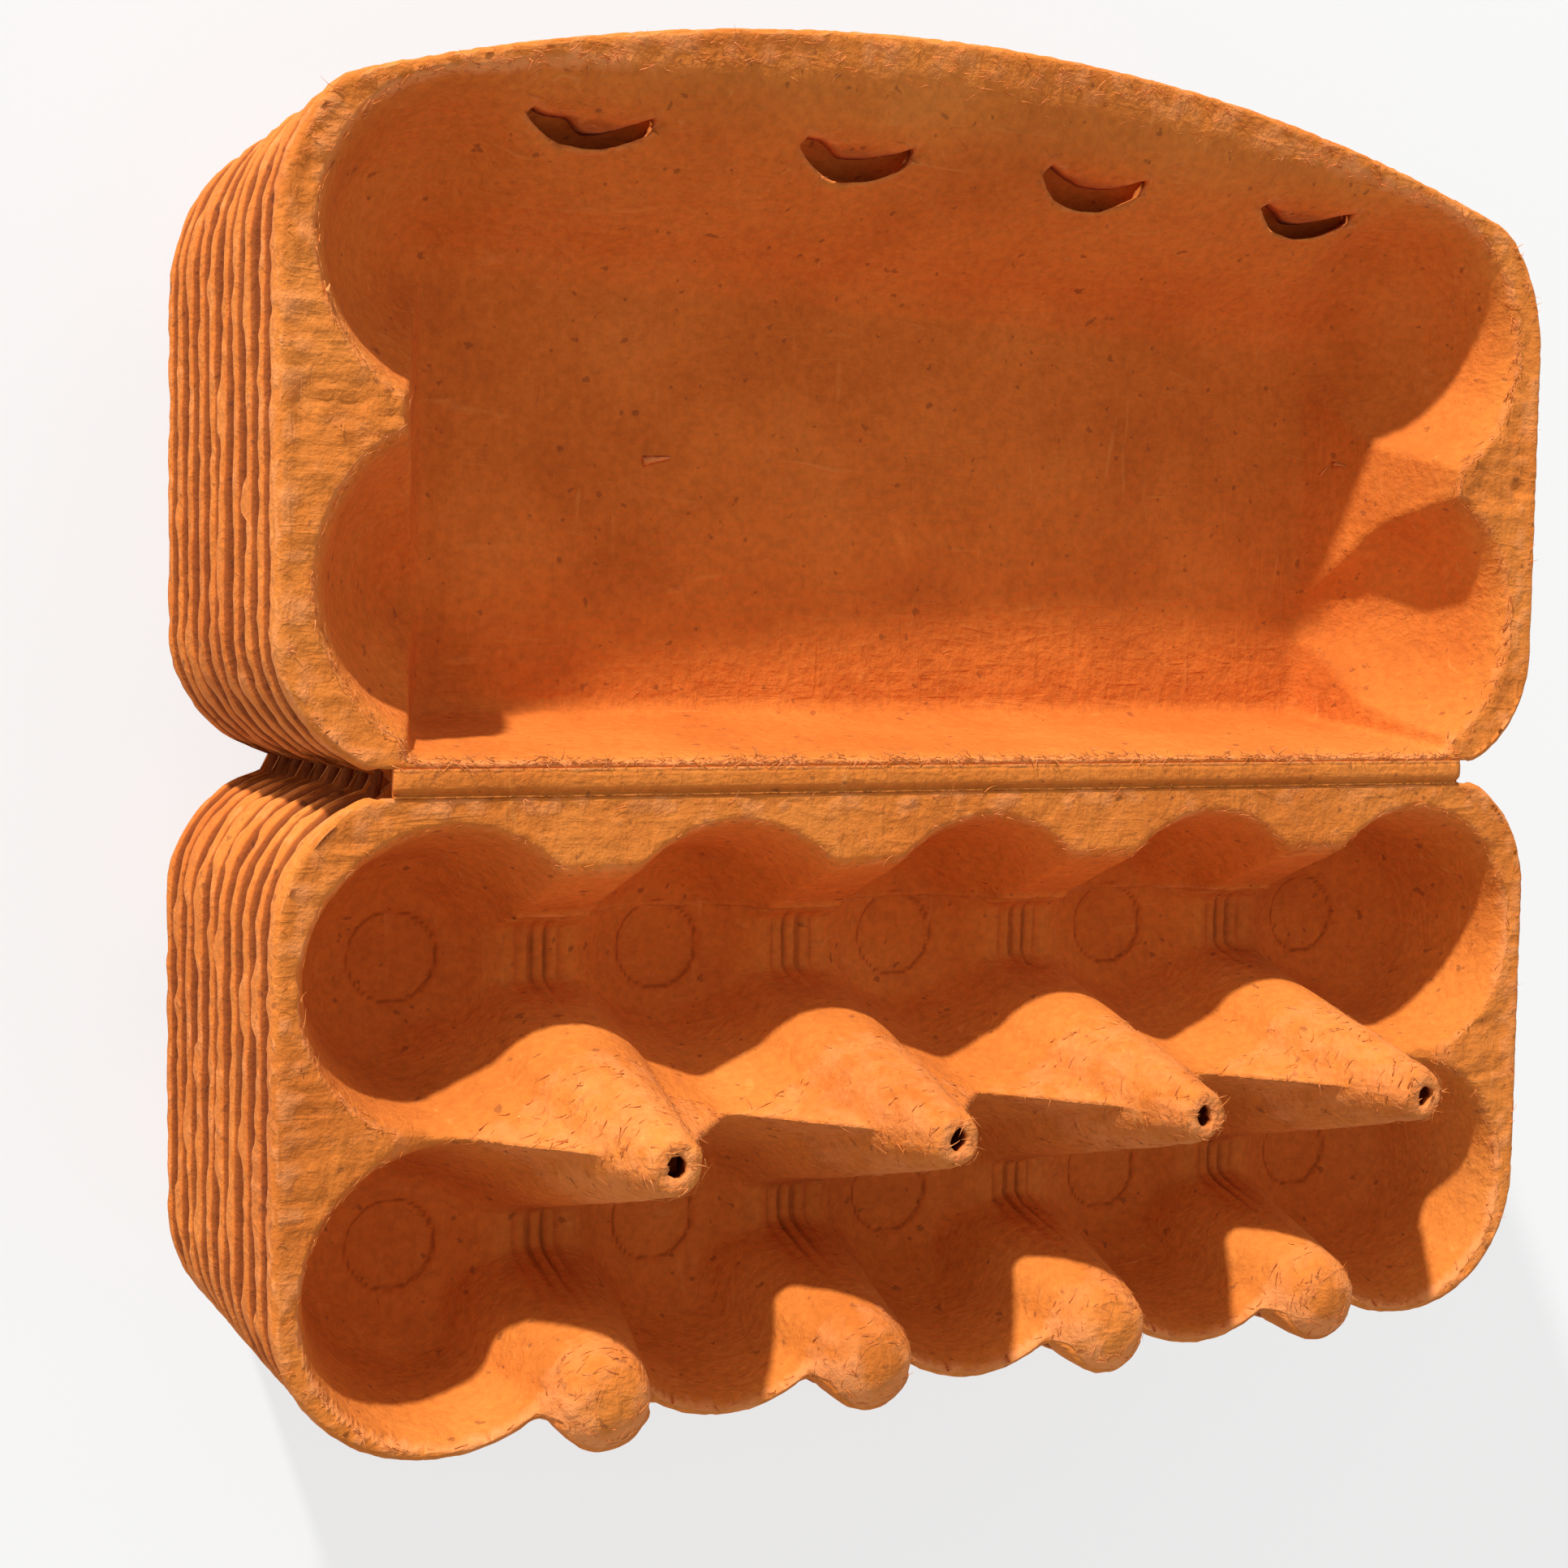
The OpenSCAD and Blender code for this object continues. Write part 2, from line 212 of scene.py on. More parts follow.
def noise(x, y, z, scale, seed):
    x, y, z = np.broadcast_arrays(
        np.asarray(x, float) / scale, np.asarray(y, float) / scale, np.asarray(z, float) / scale
    )
    fx, fy, fz = np.floor(x), np.floor(y), np.floor(z)
    ix, iy, iz = fx.astype(np.int64), fy.astype(np.int64), fz.astype(np.int64)
    u, v, w = x - fx, y - fy, z - fz
    u, v, w = u * u * (3 - 2 * u), v * v * (3 - 2 * v), w * w * (3 - 2 * w)
    total = 0.0
    for a in (0, 1):
        for b in (0, 1):
            for c in (0, 1):
                weight = (u if a else 1 - u) * (v if b else 1 - v) * (w if c else 1 - w)
                total = total + weight * lattice(ix + a, iy + b, iz + c, seed)
    return total


# Three layers of noise, each half the size and strength of the one before
def fbm(x, y, z, scale, seed):
    total = 0.0
    size = 1.0
    for o in range(3):
        total = total + size * noise(x, y, z, scale / 2 ** o, seed + 17 * o)
        size *= 0.5
    return total / 1.75


# Height of the pulp's upper face (face 0) and lower face (face 1), above the carton's underside
def bowl_height(r, face, side_r, side_draft, floor_r, low_draft, low_z, corner):
    side = side_r + face * wall(side_draft)
    bowl = floor_r + face * wall(low_draft)
    low = low_z - face * pulp_t
    kink = (side - bowl - carton_h * tan(side_draft) + low_z * tan(low_draft)) / (
        tan(low_draft) - tan(side_draft)
    )
    kink_r = side - (carton_h - kink) * tan(side_draft)
    slope = kink - (kink_r - r) / tan(low_draft)
    steep = kink + (r - kink_r) / tan(side_draft)
    return smax(smax(low, slope, corner), steep, corner)


def cone_height(r, z, tip_r, draft, face):
    top = z - face * pulp_t
    top_r = tip_r - face * wall(draft) + face * pulp_t * tan(draft)
    return top - (r - top_r) / tan(draft)


def base_height(x, y, face=0):
    v = -y
    plane = np.full(np.shape(x), carton_h - face * pulp_t)
    h = plane
    for row_y in row_ys:
        for cx in cup_x:
            r = np.hypot(x - cx, v - row_y)
            cup = bowl_height(
                r, face, cup_r, cup_draft, cup_floor_r, bowl_draft, cup_floor_z, floor_round
            )
            cup = cup - foot_h * (1 - step(foot_r - 0.5, foot_r + 0.4, r))
            if face == 0:
                cup = cup - foot_line_depth * np.exp(-((r - foot_r) / foot_line_w) ** 2)
            h = smin(h, cup, cup_rim_round)
        low = saddle_z - face * pulp_t
        half = saddle_half_w + face * (wall(saddle_draft) - pulp_t * tan(saddle_draft))
        channel = smax(low, low + (np.abs(v - row_y) - half) / tan(saddle_draft), floor_round)
        channel = channel + far_off * (np.abs(x) > cup_x[4])
        h = smin(h, channel, saddle_rim_round)
    for cx in cup_x:
        dx = np.clip(np.abs(x - cx), 0, dip_r)
        dip = dip_z + dip_r - face * pulp_t - np.sqrt(dip_r ** 2 - dx ** 2)
        dip = dip + far_off * (np.abs(v - middle_y) > cup_r / 2)
        h = smin(h, dip, dip_round)
    for px in post_x:
        hump = cone_height(np.hypot(x - px, v + hump_y), carton_h, hump_r, hump_draft, face)
        hump = smin(plane, hump, floor_round)
        # Where the hump meets the plane, smax would lift it past the plane
        h = np.maximum(h, np.minimum(smax(h, hump, hump_foot_round), plane))
        r = np.hypot(x - px, v - middle_y)
        cone = cone_height(r, post_z - post_cut, post_tip_r, post_draft, face)
        drop = face * min(3 * pulp_t, nest_pitch - 0.5 - nest_gap)
        peak = post_z - ridge_drop
        side = ridge_reach * (peak + ridge_below) / (peak - carton_h)
        away = np.abs(x - px) / side + np.abs(v - middle_y) / (side * ridge_slant)
        ridge = peak - drop - away * (peak + ridge_below)
        top = post_z - face * pulp_t - 0.05
        post = smin(smax(cone, ridge, post_side_round), top, post_top_round)
        h = smax(h, post, post_foot_round)
        r = np.hypot(x - px, v - knob_y + 0.3)
        knob = cone_height(r, knob_z - knob_cut, knob_r + 0.5, knob_draft, face)
        knob = smin(knob, knob_z - face * pulp_t - r * r * knob_arch, knob_top_round)
        h = smax(h, knob, post_foot_round)
    return h


def lid_parts(x, y, face):
    low = floor_z - face * pulp_t
    back = lid_back_y - face * wall(lid_back_draft)
    half = lid_half_l + face * wall(lid_end_draft)
    arc = lid_arc_r - lid_flange
    front = lid_floor_y + face * (wall(lid_front_draft) - pulp_t * tan(lid_front_draft))
    rho = np.hypot(x, y - lid_arc_y)
    back_h = carton_h - (y - back) / tan(lid_back_draft)
    end_h = carton_h - (half - np.abs(x)) / tan(lid_end_draft)
    flare_h = carton_h - (arc + face * wall(lid_flare_draft) - rho) / tan(lid_flare_draft)
    corner_h = carton_h - (arc + face * wall(lid_corner_draft) - rho) / tan(lid_corner_draft)
    front_h = low + (y - front) / tan(lid_front_draft)
    return low, back_h, end_h, flare_h, corner_h, front_h


# The lens-shaped pocket in the front wall above each lock slit. For each point of the wall: how
# far it lies above the slit's lower edge, the lens's height there and how far along it lies
def lens(x, z, px):
    u = np.clip((x - px) / lens_half, -1, 1)
    low = slit_z + lens_r - np.sqrt(lens_r ** 2 - (u * lens_half) ** 2)
    high = slit_z + lens_tall - lens_arch * u * u
    return z - low, np.maximum(high - low, 0.05), u


# How far each point is pressed in, from 0 to 1
def pocket(x, y, z):
    drop = 0.0
    for px in post_x:
        up, tall, u = lens(x, z, px)
        t = np.clip(up / tall, 0, 1)
        sunk = step(-0.1, 0.5, up) * (1 - step(0.0, 1.0, t)) * (1 - np.abs(u) ** 3)
        drop = drop + sunk * (y > lid_floor_y)
    return drop


def lid_height(x, y, face=0, pockets=True):
    low, back_h, end_h, flare_h, corner_h, front_h = lid_parts(x, y, face)
    front = smin(flare_h, smax(corner_h, front_h, floor_round), lid_front_round)
    h = smax(low, front, lid_front_round)
    h = smax(smax(h, back_h, lid_wall_round), end_h, lid_wall_round)
    for side in (-1, 1):
        for ly in (near_lobe_y, far_lobe_y):
            r = np.hypot(x - side * lobe_x, y - ly)
            upper = lobe_r + face * wall(lobe_draft)
            turn_z = carton_h - lobe_turn - face * pulp_t
            turn_r = upper - lobe_turn * tan(lobe_draft) - face * pulp_t * tan(lobe_draft)
            slope = turn_z - (turn_r - r) / tan(lobe_bowl_draft)
            steep = turn_z + (r - turn_r) / tan(lobe_draft)
            lobe = smax(smax(low, slope, lobe_floor_round), steep, lobe_floor_round)
            h = smin(h, lobe, lobe_rim_round)
    panel_y = (lid_back_y + (carton_h - floor_z) * tan(lid_back_draft) + lid_floor_y) / 2
    inside = np.maximum(np.abs(x) - panel_l / 2, np.abs(y - panel_y) - panel_w / 2)
    h = h - panel_h * (1 - step(-0.8, 0.8, inside)) * (h < low + 3)
    if pockets:
        h = h - pocket_depth * pocket(x, y, lid_height(x, y, 0, False) if face else h)
    return smin(h, np.full(np.shape(x), carton_h - face * pulp_t), floor_round)


# Rim outlines: signed distance, below 0 inside
def disc(x, y, cx, cy, r):
    return np.hypot(x - cx, y - cy) - r


def slab(x, y, hx, y0, y1):
    dx = np.abs(x) - hx
    dy = np.abs(y - (y0 + y1) / 2) - (y1 - y0) / 2
    return np.hypot(np.maximum(dx, 0), np.maximum(dy, 0)) + np.minimum(np.maximum(dx, dy), 0)


def base_outline(x, y):
    corner_x = carton_l / 2 - notch_corner_r
    lobe = cup_r + front_web
    d = slab(x, y, carton_l / 2, -second_row_y, -notch_corner_r)
    d = np.minimum(d, slab(x, y, corner_x, -notch_corner_r - 1, 0))
    d = np.minimum(d, slab(x, y, cup_x[4], -(base_w - front_bay), -first_row_y))
    for side in (-1, 1):
        d = np.minimum(d, disc(x, y, side * corner_x, -notch_corner_r, notch_corner_r))
        d = np.minimum(d, disc(x, y, side * (carton_l / 2 - lobe), -second_row_y, lobe))
    for cx in cup_x:
        d = smin(d, disc(x, y, cx, -second_row_y, lobe), 0.6)
    for px in post_x:
        d = smin(d, disc(x, y, px, 0.8 - knob_y, base_w - knob_y + 0.8), 0.8)
    return d


def lid_outline(x, y):
    corner_x = carton_l / 2 - notch_corner_r
    d = slab(x, y, corner_x, 0, far_lobe_y)
    d = np.minimum(d, slab(x, y, carton_l / 2, notch_corner_r, far_lobe_y))
    d = np.minimum(d, slab(x, y, lobe_x, notch_corner_r, lid_w + 5))
    for side in (-1, 1):
        d = np.minimum(d, disc(x, y, side * corner_x, notch_corner_r, notch_corner_r))
        d = np.minimum(d, disc(x, y, side * lobe_x, far_lobe_y, lobe_r + lobe_edge))
    return smax(d, disc(x, y, 0, lid_arc_y, lid_arc_r), 1.5)


# The slopes of a function along x and y
def slopes(f, x, y, e):
    return (f(x + e, y) - f(x - e, y)) / (2 * e), (f(x, y + e) - f(x, y - e)) / (2 * e)


# A distance-like value of any function: the value over the length of its gradient
def spread(f):
    def g(x, y):
        gx, gy = slopes(f, x, y, 0.05)
        return f(x, y) / np.maximum(np.hypot(gx, gy), 0.2)
    return g


def slit_field(x, y):
    z = lid_height(x, y, 0, False)
    d = np.full(np.shape(x), 50.0)
    for px in post_x:
        up, tall, u = lens(x, z, px)
        ragged = 0.15 * noise(x, y, 0, 3.0, 5)
        mouth = mouth_tall * (1 - u ** 4) + 0.9 * noise(x, 0, 0, 5.0, 9) * (1 - u * u)
        ends = np.abs(x - px) - lens_half + 2.2
        d = np.minimum(d, np.maximum(-up - ragged, np.maximum(up - mouth, ends)))
    return np.where(y > lid_floor_y, d, 50.0)


slit_distance = spread(slit_field)


def holes(x, y):
    d = np.full(np.shape(x), 50.0)
    for i, px in enumerate(post_x):
        a = np.arctan2(y + middle_y, x - px)
        r = post_hole_r * (1 + 0.22 * noise(2 * np.cos(a), 2 * np.sin(a), i * 7.0, 1.0, 31))
        d = np.minimum(d, np.hypot(x - px, y + middle_y) - r)
    return d


# The areas of the top carton's halves, and of their holes and slits
def base_domain(x, y):
    d = np.maximum(base_outline(x, y) + round_r, y + fold_y)
    return np.maximum(d, -holes(x, y))


def lid_domain(x, y):
    d = np.maximum(lid_outline(x, y) + round_r, fold_y - y)
    return np.maximum(d, -slit_distance(x, y))


# A grid cut to a domain: its outer vertices are moved onto the domain's edge
def cut_grid(domain, x0, x1, y0, y1, s):
    nx, ny = int(round((x1 - x0) / s)) + 1, int(round((y1 - y0) / s)) + 1
    gx, gy = np.meshgrid(np.linspace(x0, x1, nx), np.linspace(y0, y1, ny), indexing="ij")
    d = domain(gx, gy)
    near = np.abs(d) < 0.5 * s
    px, py = gx[near], gy[near]
    for turn in range(4):
        v = domain(px, py)
        dx, dy = slopes(domain, px, py, 0.04)
        n = np.maximum(dx * dx + dy * dy, 0.3)
        px, py = px - 0.9 * v * dx / n, py - 0.9 * v * dy / n
    far = np.hypot(px - gx[near], py - gy[near]) > 0.75 * s
    px, py = np.where(far, gx[near], px), np.where(far, gy[near], py)
    gx[near], gy[near] = px, py
    keep = d < 0.5 * s
    ids = np.arange(nx * ny).reshape(nx, ny)
    a, b, c, d4 = ids[:-1, :-1], ids[1:, :-1], ids[1:, 1:], ids[:-1, 1:]
    ka, kb, kc, kd = keep[:-1, :-1], keep[1:, :-1], keep[1:, 1:], keep[:-1, 1:]
    faces = np.stack([a, b, c, d4], -1)[ka & kb & kc & kd].tolist()
    faces += np.stack([a, b, c], -1)[ka & kb & kc & ~kd].tolist()
    faces += np.stack([b, c, d4], -1)[~ka & kb & kc & kd].tolist()
    faces += np.stack([a, c, d4], -1)[ka & ~kb & kc & kd].tolist()
    faces += np.stack([a, b, d4], -1)[ka & kb & ~kc & kd].tolist()
    used = np.zeros(nx * ny, bool)
    for f in faces:
        for i in f:
            used[i] = True
    new = np.cumsum(used) - 1
    faces = [[int(new[i]) for i in f] for f in faces]
    return gx.ravel()[used], gy.ravel()[used], faces


# The closed loops of edges that only one face has
def loops_of(faces):
    seen = set()
    for f in faces:
        for i in range(len(f)):
            seen.add((f[i], f[(i + 1) % len(f)]))
    follow = {}
    for a, b in seen:
        if (b, a) not in seen:
            follow.setdefault(a, []).append(b)
    loops = []
    while follow:
        start = next(iter(follow))
        loop = [start]
        here = start
        while True:
            ways = follow.get(here)
            if not ways:
                break
            there = ways.pop()
            if not ways:
                del follow[here]
            if there == start:
                break
            loop.append(there)
            here = there
        loops.append(loop)
    return loops


# Side faces between a loop on the upper face and the same loop, n vertices on, on the lower face
def hem(loop, n):
    return [[b, a, a + n, b + n] for a, b in zip(loop, loop[1:] + loop[:1])]


def new_mesh(name, verts, faces, torn, tone_and_shade):
    mesh = bpy.data.meshes.new(name)
    mesh.from_pydata((np.asarray(verts) / 1000.0).tolist(), [], faces)
    mesh.polygons.foreach_set("use_smooth", [True] * len(mesh.polygons))
    # torn holds pale torn pulp; the second attribute holds a redder tone and painted shade in crevices,
    # hollows and under edges
    for label, values in (("torn", torn), ("tone_and_shade", tone_and_shade)):
        layer = mesh.attributes.new(label, "FLOAT", "POINT")
        layer.data.foreach_set("value", np.asarray(values, np.float32))
    mesh.update()
    obj = bpy.data.objects.new(name, mesh)
    bpy.context.scene.collection.objects.link(obj)
    return obj


# The surface's normal
def grad(height, x, y):
    gx, gy = slopes(height, x, y, 0.15)
    n = np.sqrt(gx * gx + gy * gy + 1)
    return -gx / n, -gy / n, 1 / n


# Where the wrinkled ribs lie, between the cups of a row
def rib_share(x, y, px, row_y, half_w):
    return np.exp(-((x - px) / half_w) ** 4) * np.exp(-((y + row_y) / rib_half_l) ** 4)


# Unevenness of the top carton's pulp, in millimetres along the normal
def surface_bumps(height, x, y, z0, edge):
    inner = step(1.0, 4.0, edge) * step(0.0, 2.0, np.abs(y) - fold_y)
    bumps = 0.22 * fbm(x, y, z0, 9.0, 3) + 0.10 * noise(x, y, z0, 1.7, 8)
    across = 1 - np.abs(noise(x * 0.25, y, 0, 2.6, 23)) - 0.5 * np.abs(noise(x * 0.4, y, 0, 1.5, 24))
    along = np.abs(fbm(x, y * 0.6, z0, 5.0, 21))
    at_end = step(carton_l / 2 - 26, carton_l / 2 - 12, np.abs(x))
    rim_zone = step(30.0, 34.5, z0) * step(0.0, 3.0, edge)
    bumps = bumps - rim_zone * (0.45 * along + 0.40 * at_end * across)
    crumple = np.abs(noise(x, y, z0, 3.2, 26)) + 0.6 * np.abs(noise(x, y, z0, 1.7, 27))
    if height is base_height:
        for px in post_x:
            tip = 1 - step(5.0, 9.0, np.hypot(x - px, y + middle_y))
            bumps = bumps - 0.42 * tip * crumple
            for row_y in row_ys:
                rib = rib_share(x, y, px, row_y, 4.5)
                wave = np.cos(2 * np.pi * (x - px) / rib_pitch)
                bumps = bumps + rib * (0.38 * wave - 0.35 * crumple)
    else:
        web = np.exp(-((y - lid_back_y - lobe_r - lobe_pitch / 2) / 5.0) ** 2)
        web = web * step(94, 104, np.abs(x))
        bumps = bumps - 0.75 * web * crumple * step(6.0, 14.0, z0)
    return bumps * inner


# Torn, pale pulp along the top carton's rims, ridges, holes and slits, from 0 to 1
def torn_share(height, x, y, z0, slope, edge):
    rim = step(32.2, 34.2, z0) * (1 - 0.55 * step(3.0, 7.0, edge))
    torn = np.clip(rim * (0.35 + 0.65 * slope) + 0.6 * noise(x, y, z0, 2.2, 40) * rim, 0, 1)
    if height is lid_height:
        at_slit = 0.55 * (1 - step(0.2, 1.4, slit_distance(x, y))) * (y > lid_floor_y)
        return np.maximum(torn, at_slit)
    for px in post_x:
        r = np.hypot(x - px, y + middle_y)
        tip = (1 - step(2.6, 5.2, r)) * (0.75 + 0.25 * noise(x, y, z0, 1.0, 41))
        torn = np.maximum(torn, tip)
        crest = np.exp(-((y + middle_y) / 1.1) ** 2) * step(38.0, 44.0, z0) * (r < 24)
        torn = np.maximum(torn, 0.8 * crest * (0.6 + 0.4 * noise(x, y, z0, 1.5, 42)))
    return torn


# A redder tone lower down in the top carton, and painted shade in its lens pockets, round its cup feet
# and along its ribs, from 0 to 1
def tone_and_shade_share(height, x, y, z0):
    if height is lid_height:
        # A redder tone on the lid's floor, less on its walls and none at the rim
        high = step(3.0, 20.0, z0)
        tone_and_shade = 0.5 * (1 - high) + 0.3 * high * (1 - step(26.0, 34.0, z0))
        # Painted shade in the pressed-in lens pockets above the slits
        sunk = pocket(x, y, z0) * (y > lid_floor_y)
        return np.maximum(tone_and_shade, 0.75 * step(0.15, 0.7, sunk))
    # A redder, darker tone towards the bottoms of the cups
    tone_and_shade = 0.30 * (1 - step(4.0, 12.0, z0))
    for cx in cup_x:
        for row_y in row_ys:
            r = np.hypot(x - cx, y + row_y)
            # Painted shade along the pressed foot line round each cup's floor
            tone_and_shade = np.maximum(tone_and_shade, 0.85 * np.exp(-((r - foot_r) / 0.55) ** 2))
    for px in post_x:
        for row_y in row_ys:
            # Painted shade along the ribs, darkest in the troughs between them
            rib = rib_share(x, y, px, row_y, 5.5)
            wave = np.cos(2 * np.pi * (x - px) / rib_pitch)
            tone_and_shade = np.maximum(tone_and_shade, rib * (0.55 - 0.35 * wave))
    return tone_and_shade


# Rows of points down the top carton's edge: distance out, millimetres down or share of the depth
edge_rows = [
    (round_r * math.sin(math.radians(30)), round_r * (1 - math.cos(math.radians(30))), None),
    (round_r * math.sin(math.radians(60)), round_r * (1 - math.cos(math.radians(60))), None),
    (round_r * math.sin(math.radians(90)), round_r * (1 - math.cos(math.radians(90))), None),
    (round_r, None, 0.35),
    (round_r - 0.1, None, 0.7),
    (round_r - 0.2, None, 0.92),
    (round_r - 0.45, None, 1.0),
    (0.15, None, 1.0),
    (0.0, None, 0.6),
]


# The top carton's edge along one loop: rounded, turned down, with a torn lower side
def turned_edge(outline, at, bx, by, bz, lip, n, count):
    ox, oy = slopes(outline, bx, by, 0.05)
    size = np.maximum(np.hypot(ox, oy), 0.3)
    ox, oy = ox / size, oy / size
    reach = np.where(lip, 1.0, 0.0)
    for turn in range(2):
        reach = (np.roll(reach, 1) + 2 * reach + np.roll(reach, -1)) / 4
    reach = np.minimum(reach, np.where(lip, 1.0, 0.0))
    fade = reach * step(fold_y, fold_y + 5.0, np.abs(by))
    deep = lip_h - 0.3 + 1.3 * np.clip(noise(bx, by, 0, 3.0, 55), -0.6, 1)
    deep = deep + 0.5 * noise(bx, by, 0, 1.1, 56)
    bottom = carton_h - deep * (0.25 + 0.75 * fade)
    verts, torn, tone_and_shade, faces = [], [], [], []
    ring = [at]
    for out, down, part in edge_rows:
        outside = out > 0.3
        rough = 0.16 * noise(bx, by, 9.0 * (part or 0), 1.3, 60 + len(ring)) - 0.14
        o = out * reach + rough * reach * outside
        if part is None:
            z = bz - down
        else:
            z = (bz - round_r) * (1 - part) + np.minimum(bottom, bz - round_r - 0.2) * part
        verts.append(np.stack([bx + ox * o, by + oy * o, z], -1))
        pale = np.clip(0.25 + 0.75 * noise(bx, by, 3.0 * len(ring), 2.0, 70), 0, 1)
        torn.append(pale * (1.0 if outside else 0.3))
        # Painted shade on the inner rows, under the turned-down edge
        tone_and_shade.append(np.full(len(at), 0.0 if outside else 0.8))
        ring.append(np.arange(count, count + len(at)))
        count += len(at)
    ring.append(at + n)
    for up, low in zip(ring[:-1], ring[1:]):
        faces += np.stack([np.roll(up, -1), up, low, np.roll(low, -1)], -1).tolist()
    return verts, torn, tone_and_shade, faces


# One half of the top carton as a closed sheet with a turned-down, ragged edge
def sheet(name, height, domain, outline, area, s):
    x, y, faces = cut_grid(domain, *area, s)
    n = len(x)
    z0 = height(x, y, 0)
    z1 = np.minimum(height(x, y, 1), z0 - 0.6)
    nx, ny, nz = grad(height, x, y)
    edge = -outline(x, y)
    bumps = surface_bumps(height, x, y, z0, edge)
    # The rims stay just below the plane in which the two halves meet when the lid is closed
    flat = z0 < carton_h + 0.6
    bumps = bumps - 0.2 * flat * step(carton_h - 1.4, carton_h - 0.4, z0)
    ux, uy, uz = x + nx * bumps, y + ny * bumps, z0 + nz * bumps
    uz = np.where(flat, np.minimum(uz, carton_h - 0.1), uz)
    lx, ly, lz = x + nx * bumps, y + ny * bumps, z1 + nz * bumps
    torn = torn_share(height, x, y, z0, step(0.12, 0.5, np.hypot(nx, ny)), edge)
    verts = [np.stack([ux, uy, uz], -1), np.stack([lx, ly, lz], -1)]
    torn_all = [torn, 0.2 * torn]
    tone_and_shade_all = [tone_and_shade_share(height, x, y, z0), np.full(n, 0.4)]
    count = 2 * n
    all_faces = list(faces) + [[i + n for i in reversed(f)] for f in faces]
    for loop in loops_of(faces):
        if len(loop) < 4:
            continue
        at = np.array(loop)
        bx, by = x[at], y[at]
        lip = (np.abs(outline(bx, by) + round_r) < 0.35 * s) & (np.abs(by) > fold_y + 0.3)
        if lip.sum() < 0.3 * len(loop):
            all_faces += hem(loop, n)
            continue
        more = turned_edge(outline, at, bx, by, uz[at], lip, n, count)
        verts += more[0]
        torn_all += more[1]
        tone_and_shade_all += more[2]
        all_faces += more[3]
        count += len(edge_rows) * len(loop)
    return new_mesh(name, np.concatenate(verts), all_faces,
                    np.concatenate(torn_all), np.concatenate(tone_and_shade_all))


# Moves a mesh from its carton's own frame to its place in the stack, inside the part's box
def place(obj, number):
    shift = Matrix.Translation((0, stack_y / 1000, (cartons - number) * nest_pitch / 1000))
    obj.data.transform(shift)
    points = np.empty(3 * len(obj.data.vertices), np.float32)
    obj.data.vertices.foreach_get("co", points)
    points = np.clip(points.reshape(-1, 3), np.array(cad_box[0]), np.array(cad_box[1]))
    obj.data.vertices.foreach_set("co", points.ravel())
    obj.data.update()
    return obj


coarse = 0.76
cup_half = sheet("cup_half", base_height, base_domain, base_outline, cup_area, coarse)
lid_half = sheet("lid_half", lid_height, lid_domain, lid_outline, lid_area, coarse * 1.06)
for obj in (cup_half, lid_half):
    place(obj, 1)


# The scored strip between the two halves, where the real lid bends when it closes
def fold_height(x, y):
    bead = 0.25 * np.exp(-((y - 0.6) / 0.9) ** 2)
    groove = 0.9 * np.exp(-((y + 1.7) / 0.42) ** 2)
    score = (0.35 + 0.25 * noise(x, 0, 0, 1.4, 88)) * np.exp(-((y - 2.1) / 0.35) ** 2)
    return carton_h + bead - groove - score


def fold():
    xs = np.linspace(-hinge_l / 2, hinge_l / 2, 171)
    ys = np.linspace(-fold_y, fold_y, 12)
    gx, gy = np.meshgrid(xs, ys, indexing="ij")
    top = fold_height(gx, gy)
    top[:, 0], top[:, -1] = carton_h, carton_h
    top = np.minimum(top, carton_h + 0.12)
    low = np.full(gx.shape, carton_h - pulp_t * 0.75)
    n = gx.size
    verts = np.concatenate([
        np.stack([gx.ravel(), gy.ravel(), top.ravel()], -1),
        np.stack([gx.ravel(), gy.ravel(), low.ravel()], -1),
    ])
    ids = np.arange(n).reshape(gx.shape)
    quads = np.stack([ids[:-1, :-1], ids[1:, :-1], ids[1:, 1:], ids[:-1, 1:]], -1)
    quads = quads.reshape(-1, 4).tolist()
    faces = quads + [[i + n for i in reversed(q)] for q in quads]
    for loop in loops_of(quads):
        faces += hem(loop, n)
    torn = np.exp(-((gy - 2.1) / 0.5) ** 2) * (0.6 + 0.4 * noise(gx, gy, 0, 1.0, 90))
    torn = np.clip(np.concatenate([torn.ravel(), np.zeros(n)]), 0, 1)
    return new_mesh("fold_strip", verts, faces, torn, np.zeros(2 * n))


fold_strip = place(fold(), 1)


# The whole carton's rim outline and heights, for the nine cartons below the top one
def whole_outline(x, y):
    d = np.minimum(base_outline(x, y), lid_outline(x, y))
    return np.minimum(d, slab(x, y, hinge_l / 2, -hinge_half_w, hinge_half_w))


def whole_height(x, y, face=0):
    return np.where(y < 0, base_height(x, y, face), lid_height(x, y, face))


def whole_domain(x, y):
    d = whole_outline(x, y) + rim_inset
    return np.maximum(d, np.maximum(-holes(x, y), -slit_distance(x, y)))


